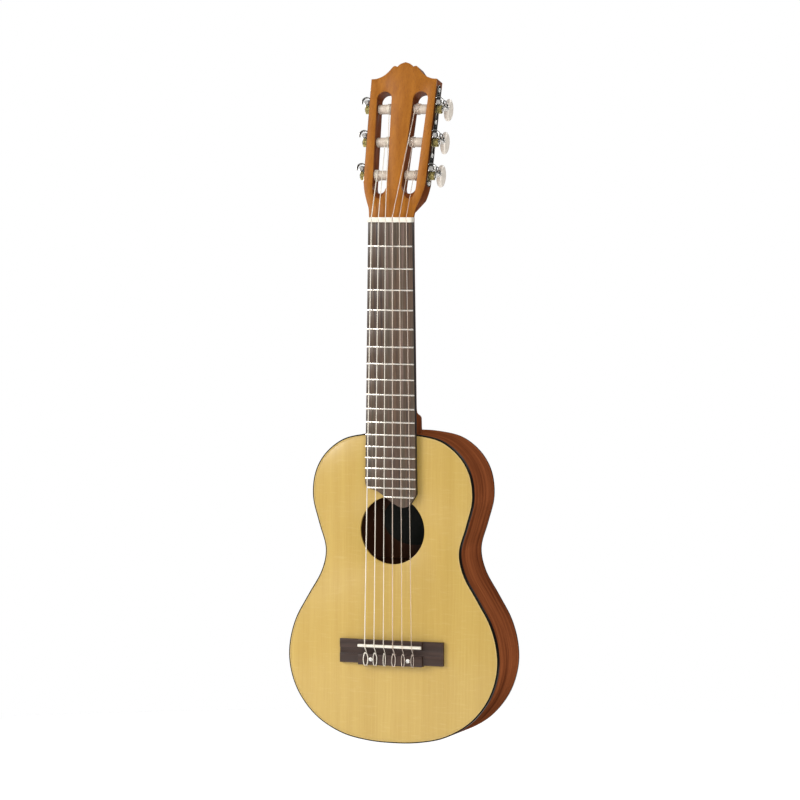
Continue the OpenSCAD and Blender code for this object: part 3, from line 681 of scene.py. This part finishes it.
def make_body(look):
    """Bindings and purfling line round the body, and its two bent sides."""
    outline = body_outline()
    count = len(outline)
    low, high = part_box("top_binding")
    back_low, back_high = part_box("back_binding")
    wide = 0.002       # binding and sides
    face = 0.0013      # black seen from the front, where the cream line begins
    line_in = 0.0026   # inner edge of the cream line
    top_under = 0.0024
    corner = 0.0009
    skin = 0.00003     # the sides lie this far inside the bindings
    front = [(face, low.y), *reversed(rounded_corner(0, low.y + corner, 180, corner)), (0, high.y),
             (wide, high.y), (wide, top_under), (face, top_under)]
    add_piece("edge_binding", *swept_ring(outline, front)[:2], look["black"], slot="binding",
              replaces=("top_binding",))
    rear = [(wide, back_low.y), (0, back_low.y),
            *reversed(rounded_corner(0, back_high.y - corner, 90, corner)), (wide, back_high.y)]
    add_piece("rear_binding", *swept_ring(outline, rear)[:2], look["back_edge"], slot="dark_binding",
              replaces=("back_binding",))
    line = [(face, 0), (line_in, 0), (line_in, top_under), (face, top_under)]
    add_piece("purfling_line", *swept_ring(outline, line)[:2], look["cream"], slot="purfling",
              replaces=("top_purfling",))

    wall = [(skin, high.y), (skin, back_low.y), (wide, back_low.y), (wide, high.y)]
    off_middle = [abs(p.x) * 0.5 for p in outline]
    top = max(range(count), key=lambda i: outline[i].y - off_middle[i])
    tail = min(range(count), key=lambda i: outline[i].y + off_middle[i])
    halves = {}
    for first, last in ((top, tail + count * (tail < top)), (tail, top + count * (top < tail))):
        middle = outline[(first + last) // 2 % count]
        halves["side_treble" if middle.x > 0 else "side_bass"] = (first, last)
    for node, (first, last) in halves.items():
        verts, faces, uvs = swept_ring(outline, wall, first, last)
        add_piece(node + "_bent", verts, faces, look["side"], slot="side_wood", replaces=(node,), uvs=uvs)


# ---- Neck ----

# Heel: (z, depth behind the soundboard's front) and (y, share of the neck's half-width), in metres.
HEEL_DEPTHS = ((-0.150, 0.0154), (-0.184, 0.0158), (-0.190, 0.0172), (-0.1935, 0.0195), (-0.196, 0.026),
               (-0.198, 0.036), (-0.2, 0.050), (-0.2025, 0.068), (-0.2165, 0.15))
HEEL_WIDTHS = ((0.0, 1.0), (0.016, 0.96), (0.025, 0.86), (0.038, 0.67), (0.050, 0.49), (0.063, 0.31))


def table_value(table, at):
    """Straight-line value between a table's rows."""
    for (a, va), (b, vb) in zip(table, table[1:]):
        if min(a, b) <= at <= max(a, b):
            return va + (vb - va) * (at - a) / (b - a)
    return table[0][1] if abs(at - table[0][0]) < abs(at - table[-1][0]) else table[-1][1]


# Neck: its depth at the nut, what it gains over its free length, and how its section's power changes.
NUT_DEPTH, DEPTH_GAIN, FREE_LENGTH = 0.0146, 0.0008, 0.155
ROUND_POWER, NUT_POWER, LOW_POWER, HEEL_POWER = 1.9, 0.1, 0.1, 2.6
NUT_BLEND, LOW_BLEND, HEEL_FROM, HEEL_BLEND = 0.025, 0.2, 0.0165, 0.03


def neck_section(z, deepest, rays=48, halvings=30):
    """Half-round section of the neck or heel at height z, found along rays from its middle."""
    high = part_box("nut")[1]
    neck_low, neck_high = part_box("neck")
    below = high.z - z
    width = high.x + (neck_high.x - high.x) * below / (high.z - neck_low.z)
    depth = NUT_DEPTH + DEPTH_GAIN * below / FREE_LENGTH
    if z < HEEL_DEPTHS[0][0]:
        depth = table_value(HEEL_DEPTHS, z)
    nut_share = max(0.0, 1 - below / NUT_BLEND)
    low_share = min(1.0, -z / LOW_BLEND)
    heel_share = min(1.0, max(0.0, (depth - HEEL_FROM) / HEEL_BLEND))
    power = ROUND_POWER + NUT_POWER * nut_share - LOW_POWER * low_share + HEEL_POWER * heel_share
    ring = []
    for i in range(rays + 1):
        angle = math.pi * i / rays
        c, s = math.cos(angle), math.sin(angle)
        near, far = 0.0, 0.2
        for _ in range(halvings):
            middle = (near + far) / 2
            x, y = abs(c) * middle, s * middle
            room = 1 - (y / depth) ** power if y < depth else 0.0
            reach = width * table_value(HEEL_WIDTHS, y) * room ** (1 / power)
            inside = y < depth and y <= deepest and x <= reach
            near, far = (middle, far) if inside else (near, middle)
        ring.append(Vector((c * near, s * near, z)))
    return ring


def make_neck(look):
    """Neck and heel as one carved skin that ends flush on the body."""
    low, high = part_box("neck")
    turn_z, heel_z = -0.150, -0.189
    neck_step, turn_step, heel_step = 0.004, 0.003, 0.0004
    stations = [high.z - neck_step * i for i in range(39)]
    stations = [z for z in stations if z > turn_z + MM]
    stations += [turn_z - turn_step * i for i in range(13)]
    stations += [heel_z - heel_step * i for i in range(int((heel_z - low.z) / heel_step))]
    stations.append(low.z + 0.0002)
    rings = [neck_section(z, high.y) for z in stations]
    # The heel's foot follows the body's curve, a little way into it.
    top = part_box("side_treble")[1].z
    foot_drop, foot_half = 0.0012, 0.027
    for point in rings[-1]:
        point.z = top - 0.0002 - foot_drop * (point.x / foot_half) ** 2
    verts, faces = loft(rings)
    add_piece("neck_carved", verts, faces, look["neck"], slot="neck_wood", replaces=("neck",), crease=40)


# ---- Machine heads ----

class Tuner:
    """One machine head's own frame, from its joints: out of the side, back from the face, along the head.

    The visual pieces of a machine head are placed in it, in millimetres from the roller's middle.
    """

    def __init__(self, k):
        wind, tune = joints[f"wind_{k}"], joints[f"tune_{k}"]
        self.k = k
        self.roller_body, self.button_body = wind["child"], tune["child"]
        self.origin = Vector(wind["pos_m"])
        self.out = Vector(wind["axis"])
        self.back = Vector(tune["axis"])
        across = Vector(tune["pos_m"]) - self.origin
        self.gear_mid = across.dot(self.out)
        self.along = (across - self.out * self.gear_mid).normalized()
        self.mesh_gap = across.dot(self.along)

    def at(self, out, back, along):
        """A point of this frame given in millimetres."""
        return self.origin + (self.out * out + self.back * back + self.along * along) * MM


def turned(point_at, profile, sides):
    """Rings for a turned shape: profile is (radius, place), and point_at(radius, angle, place) a point."""
    return [[point_at(r, a, place) for a in angles(sides)] for r, place in profile]


# Lengths of the machine heads are in millimetres.
WORM_TURNS, WORM_PITCH = 3.5, 1.8
WORM_ROOT, WORM_TOOTH = 1.58, 0.95
FERRULE = (13.9, 3.2)  # where it starts and how long it is
FLUTES = 8


def make_worm(t, look):
    """Worm shaft with its thread as one smooth skin, matched in hand and phase to the frame's own worm."""
    sides, steps, flares = 64, 26, 12
    half = WORM_TURNS * WORM_PITCH / 2

    def point(radius, angle, place):
        # The frame's worm section has its first axis outward and its second towards the gear.
        return t.at(t.gear_mid / MM + radius * math.cos(angle), place,
                    t.mesh_gap / MM - radius * math.sin(angle))

    def threaded(angle, place):
        crest_edge, flank, run_out = 86, 38, 0.5
        lobe = (angle - 2 * math.pi * (place + half) / WORM_PITCH) % (2 * math.pi)
        lobe = math.degrees(min(lobe, 2 * math.pi - lobe))
        rise = min(1.0, max(0.0, (crest_edge - lobe) / flank))
        fade = min(1.0, (half - abs(place)) / run_out)
        return WORM_ROOT + WORM_TOOTH * (rise * rise * (3 - 2 * rise)) * max(0.0, fade)

    def fluted(angle, rise):
        flute = 0.26 * min(1.0, 2 * rise) * max(0.0, math.cos(FLUTES * angle)) ** 0.7
        return (2.4 + 1.15 * rise ** 1.4) * (1 - flute)

    tip = [(0.6, -7.35), (2.2, -7.35), (2.4, -7.15), (2.4, -6.4), (2.2, -6.2), (1.6, -6.2),
           (1.6, -half - 0.05)]
    shaft = [(1.6, half + 0.05), (1.6, 6.3), (2.2, 6.3), (2.4, 6.5), (2.4, 8.0), (2.1, 8.6),
             (2.1, 12.4), (2.4, 12.9)]
    rings = turned(point, tip, sides)
    rows = int(WORM_TURNS * steps)
    for i in range(rows + 1):
        place = -half + 2 * half * i / rows
        rings.append([point(threaded(a, place), a, place) for a in angles(sides)])
    rings += turned(point, shaft, sides)
    for i in range(flares + 1):
        rise = i / flares
        place = FERRULE[0] + FERRULE[1] * rise
        rings.append([point(fluted(a, rise), a, place) for a in angles(sides)])
    rings += turned(point, [(1.5, 17.2)], sides)
    add_piece(f"worm_{t.k}_threaded", *loft(rings), look["nickel"], t.button_body, "nickel",
              (f"worm_{t.k}",), 45)


def make_button(t, look):
    """Oval button: two nearly flat faces that dip towards the middle, and a broad rim with round edges."""
    half_long, half_deep, half_thick, centre, edge = 11.6, 7.25, 3.2, 24.5, 1.5
    squareness = 0.96
    side = [(half_deep - 0.15, -half_thick + 0.25), (4.2, -half_thick + 0.22), (2.4, -half_thick + 0.1)]
    for i in range(9):
        a = math.pi / 2 * i / 8
        side.append((edge * (1 - math.sin(a)), -(half_thick - edge) - edge * math.cos(a)))
    rim = [(-0.08, -0.7), (-0.1, 0.0), (-0.08, 0.7)]
    profile = side + rim + [(inset, -out) for inset, out in reversed(side)]
    rings = []
    for inset, out in profile:
        share = 1 - inset / half_deep
        stretch = half_long / half_deep if inset > 2 else 1
        long_reach = half_long - min(inset, half_deep) * stretch
        ring = []
        for a in angles(64):
            c, d = math.cos(a), math.sin(a)
            taper = 1 - 0.5 * (share * d) ** 2 - 0.12 * (share * c) ** 2
            ring.append(t.at(t.gear_mid / MM + out * taper,
                             centre + half_deep * share * math.copysign(abs(c) ** squareness, c),
                             t.mesh_gap / MM + long_reach * math.copysign(abs(d) ** squareness, d)))
        rings.append(ring)
    add_piece(f"button_{t.k}_oval", *loft(rings), look["button"], t.button_body, "button_plastic",
              (f"button_{t.k}",), 60)


def make_gear_screw(t, look):
    """Slotted cheese-head screw that holds the gear on its roller."""
    gear_half = 2.2
    start = t.gear_mid / MM + gear_half

    def at(r, a, rise):
        return t.at(start + rise, r * math.cos(a), r * math.sin(a))

    head = [(1.0, -0.6), (2.2, 0), (2.3, 0.15), (2.3, 0.75), (2.05, 1.0), (0.05, 1.05)]
    screw = add_piece(f"gear_screw_{t.k}", *loft(turned(at, head, 28)), look["nickel"], t.roller_body,
                      "nickel", crease=35)
    direction = (t.back + t.along * 0.6).normalized()
    cut_slot(screw, t.at(start + 1.1, 0, 0), t.out, direction, length=6.0, width=0.5, depth=0.45)


def cut_slot(piece, place, out, along, length, width, depth):
    """Cuts a screwdriver slot across a screw's head. The slot's sizes are in millimetres."""
    across = out.cross(along).normalized()
    verts = [place + (along * a * length / 2 + across * b * width / 2 + out * c * depth) * MM
             for a in (-1, 1) for b in (-1, 1) for c in (-1, 1)]
    faces = [(0, 1, 3, 2), (4, 6, 7, 5), (0, 4, 5, 1), (2, 3, 7, 6), (0, 2, 6, 4), (1, 5, 7, 3)]
    mesh = bpy.data.meshes.new("cutter")
    mesh.from_pydata([tuple(v) for v in verts], [], faces)
    work = bmesh.new()
    work.from_mesh(mesh)
    bmesh.ops.recalc_face_normals(work, faces=work.faces)
    work.to_mesh(mesh)
    work.free()
    cutter = bpy.data.objects.new("cutter", mesh)
    bpy.context.scene.collection.objects.link(cutter)
    cutting = piece.modifiers.new("slot", "BOOLEAN")
    cutting.operation = "DIFFERENCE"
    cutting.object = cutter
    cutting.solver = "EXACT"
    bpy.context.view_layer.update()
    graph = bpy.context.evaluated_depsgraph_get()
    cut = bpy.data.meshes.new_from_object(piece.evaluated_get(graph))
    piece.modifiers.clear()
    piece.data = cut
    cut.shade_smooth()
    cut.set_sharp_from_angle(angle=math.radians(35))
    bpy.data.objects.remove(cutter)


def make_winding(t, string, look):
    """Turns of the string round its roller, from where the straight run meets it, and a short tail."""
    radius = string["radius"] / MM
    spool = ROLLER_RADIUS + radius * 0.92
    meet = string["path_start"] - t.origin
    start_out = meet.dot(t.out) / MM
    turns = 3.6
    step = radius * 2.05
    steps = 26
    toward = 1 if string["inward"] else -1
    path = []
    for i in range(int(turns * steps) + 1):
        a = 2 * math.pi * i / steps
        out = start_out + toward * step * a / (2 * math.pi)
        path.append(t.at(out, -spool * math.cos(a), spool * math.sin(a)))
    tail = path[-1] - path[-2]
    path.append(path[-1] + tail * 0.4 + t.out * toward * 0.0001)
    tube(f"winding_{t.k}", path, string["radius"], look[string["look"]], t.roller_body, string["slot"])


def make_plate_screws(look):
    """Domed slotted heads over the plate screws, placed from the frame's own screw solids."""
    work = bmesh.new()
    work.from_mesh(frame["nodes"]["plate_screws"].data)
    bmesh.ops.remove_doubles(work, verts=work.verts, dist=WELD)
    seen, groups = set(), []
    for start in work.verts:
        if start in seen:
            continue
        group, queue = [], [start]
        seen.add(start)
        while queue:
            vert = queue.pop()
            group.append(vert.co.copy())
            for edge in vert.link_edges:
                other = edge.other_vert(vert)
                if other not in seen:
                    seen.add(other)
                    queue.append(other)
        groups.append(group)
    work.free()
    dome_height = 1.0
    dome = [(1.0, -3), (1.0, 0), (2.2, 0.02), (2.2, 0.25), (1.9, 0.62), (1.3, 0.88), (0.6, 0.98),
            (0.05, dome_height)]
    for number, group in enumerate(sorted(groups, key=lambda g: (g[0].x > 0, g[0].z))):
        middle = middle_of(group)
        same_side = [tuners[k] for k in STRINGS if tuners[k].out.x * middle.x > 0]
        t = min(same_side, key=lambda u: (u.origin - middle).length)
        base = max((p - t.origin).dot(t.out) for p in group) / MM - dome_height
        back = (middle - t.origin).dot(t.back) / MM
        along = (middle - t.origin).dot(t.along) / MM

        def at(r, a, rise):
            return t.at(base + rise, back + r * math.cos(a), along + r * math.sin(a))

        screw = add_piece(f"plate_screw_{number + 1}", *loft(turned(at, dome, 28)), look["screw"], ROOT,
                          "nickel", ("plate_screws",) if number == 0 else (), 40)
        turn = 0.5 + 1.1 * number  # each slot stands another way
        direction = t.back * math.cos(turn) + t.along * math.sin(turn)
        cut_slot(screw, t.at(base + 1.05, back, along), t.out, direction, length=5.0, width=0.55, depth=0.5)


# ---- Strings ----

def string_facts(k):
    """A string's radius, look and route, read from its own solid in the frame."""
    points = [v.co.copy() for v in frame["nodes"][f"string_{k}"].data.vertices]
    saddle_low, saddle_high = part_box("saddle")
    saddle_z = (saddle_low.z + saddle_high.z) / 2
    nut_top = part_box("nut")[1].z
    head_end = max(p.z for p in points) - 0.0015
    at_saddle = [p for p in points if abs(p.z - saddle_z) < 0.0006]
    return {
        "k": k,
        "tuner": tuners[k],
        "radius": (max(p.x for p in at_saddle) - min(p.x for p in at_saddle)) / 2,
        "look": "wound" if k in WOUND else "nylon",
        "slot": slot_of(f"string_{k}"),
        "path_start": middle_of([p for p in points if p.z > head_end]),
        "nut": middle_of([p for p in points if abs(p.z - nut_top) < 0.0012]),
        "saddle": middle_of(at_saddle),
        "inward": k in (1, 3, 4, 6),
    }


# Width of each string's tie loop on the bridge, bass to treble, in millimetres.
LOOP_WIDTHS = (4.9, 4.1, 2.5, 3.9, 3.3, 2.8)


def make_string(string, look):
    """Straight run from roller to nut, over the frets to the saddle, down and through the tie block."""
    r = string["radius"]
    bridge_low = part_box("bridge")[0]
    start, nut, saddle = string["path_start"], string["nut"], string["saddle"]
    x = saddle.x
    t = string["tuner"]
    meet = t.at((start - t.origin).dot(t.out) / MM, -(ROLLER_RADIUS + r / MM + 0.04), 0)
    tie_front = -0.4414  # z of the tie block's face towards the saddle
    hole_y = -0.0044     # y of the holes through the tie block
    behind = bridge_low.z - r - 0.0001
    over = bridge_low.y - r * 1.02
    bend = [nut + (start - nut).normalized() * 0.004, nut, nut + (saddle - nut).normalized() * 0.004]
    crown = saddle + Vector((0, 0, 0.003))
    lower = [crown, saddle, saddle + Vector((0, 0.0006, -0.0014)),
             Vector((x, hole_y - 0.0012, tie_front + 0.0012)),
             Vector((x, hole_y, tie_front - 0.0015)),
             Vector((x, hole_y, behind + 0.0006))]
    path = [meet + (nut - meet) * i / 12 for i in range(12)] + curve_through(bend, 6)
    path += [nut + (saddle - nut) * i / 30 for i in range(1, 30)]
    path += curve_through(lower, 6)
    tube(f"string_{string['k']}_run", path, r, look[string["look"]], ROOT, string["slot"],
         (f"string_{string['k']}",), 12)

    half = LOOP_WIDTHS[string["k"] - 1] / 2 * MM
    middle = (tie_front + bridge_low.z) / 2
    lift = over - r * 0.1
    # Each row: share of half the loop's width from the string, y, z.
    route = ((-0.2, hole_y, bridge_low.z + 0.001), (-0.3, hole_y - 0.001, behind),
             (-0.6, over, behind + r * 1.2), (-0.95, lift, middle - 0.0025), (-1, lift, middle + 0.001),
             (-0.75, lift, tie_front - 0.0012), (-0.2, lift - r * 0.9, tie_front + 0.0012),
             (0.45, lift - r * 0.6, tie_front + 0.0002), (0.9, lift, tie_front - 0.0022),
             (1, lift, middle), (0.8, lift, middle - 0.004), (0.45, over, behind + r * 1.2),
             (0.3, hole_y - 0.0008, behind - r * 0.8))
    loop = [Vector((x + half * share, y, z)) for share, y, z in route]
    tube(f"string_{string['k']}_tie", curve_through(loop, 7), r * 0.94, look[string["look"]], ROOT,
         string["slot"])


def make_dots(look):
    """Round inlays of the tie block: a raised grey rim round a pearl dome."""
    points = [v.co.copy() for v in frame["nodes"]["bridge_dots"].data.vertices]
    face = max(p.y for p in points)
    for number, side in enumerate((-1, 1)):
        mine = [p for p in points if p.x * side > 0]
        middle = Vector([(min(p[i] for p in mine) + max(p[i] for p in mine)) / 2 for i in range(3)])

        def at(r, a, up):
            return Vector((middle.x + r * MM * math.cos(a), face - up * MM,
                           middle.z + r * MM * math.sin(a)))

        rim = [(1.4, -0.2), (2.2, -0.2), (2.3, 0.15), (2.15, 0.32), (1.7, 0.35), (1.4, 0.2)]
        add_piece(f"dot_rim_{number + 1}", *loft(turned(at, rim, 40)), look["fret"], slot="pearl",
                  replaces=("bridge_dots",) if number == 0 else ())
        dome = [(1.35, -0.2), (1.38, 0.2), (1.15, 0.42), (0.6, 0.55), (0.05, 0.58)]
        add_piece(f"dot_pearl_{number + 1}", *loft(turned(at, dome, 40)), look["pearl"], slot="pearl")


# ---- Putting it together ----

def dress_frame(look):
    """Gives every CAD node its finish, and rounds the edges of those whose shape already is right."""
    finishes = {
        "soundboard": "spruce", "back_plate": "back", "top_lining": "inner", "back_lining": "inner",
        "neck_block": "inner", "tail_block": "inner", "top_braces": "inner", "back_braces": "brace",
        "bridge_plate": "inner", "label": "label", "neck": "neck", "heel_cap": "back_edge",
        "headstock": "neck", "head_veneer": "veneer", "fingerboard": "board", "frets": "fret",
        "nut": "bone", "bridge": "bridge", "saddle": "bone", "bridge_dots": "pearl",
        "tuner_plate_bass": "plate", "tuner_plate_treble": "plate", "plate_screws": "nickel",
        "top_binding": "black", "back_binding": "back_edge", "top_purfling": "cream",
        "side_bass": "side", "side_treble": "side",
    }
    for k in STRINGS:
        finishes[f"string_{k}"] = "wound" if k in WOUND else "nylon"
        finishes[f"roller_{k}"] = "roller"
        finishes[f"gear_{k}"] = "brass"
        finishes[f"worm_{k}"] = "nickel"
        finishes[f"button_{k}"] = "button"
    for node, finish in finishes.items():
        mesh = frame["nodes"][node].data
        mesh.materials.clear()
        mesh.materials.append(look[finish])

    # Radius of the rounded edges, in millimetres.
    rounding = {"soundboard": 0.25, "headstock": 0.7, "head_veneer": 0.3, "fingerboard": 0.35,
                "frets": 0.12, "nut": 0.4, "bridge": 0.6, "saddle": 0.3, "heel_cap": 0.5,
                "tuner_plate_bass": 0.2, "tuner_plate_treble": 0.2}
    for node, edge in rounding.items():
        refined(node, look[finishes[node]], edge)
    for k in STRINGS:
        t = tuners[k]
        refined(f"roller_{k}", look["roller"], 0.45, 3, body=t.roller_body)
        refined(f"gear_{k}", look["brass"], 0.08, 1, body=t.roller_body)


make_camera()
make_studio()
tuners = {k: Tuner(k) for k in STRINGS}
looks = make_materials()
dress_frame(looks)
make_body(looks)
make_neck(looks)
for k in STRINGS:
    make_worm(tuners[k], looks)
    make_button(tuners[k], looks)
    make_gear_screw(tuners[k], looks)
    facts = string_facts(k)
    make_string(facts, looks)
    make_winding(tuners[k], facts, looks)
make_plate_screws(looks)
make_dots(looks)
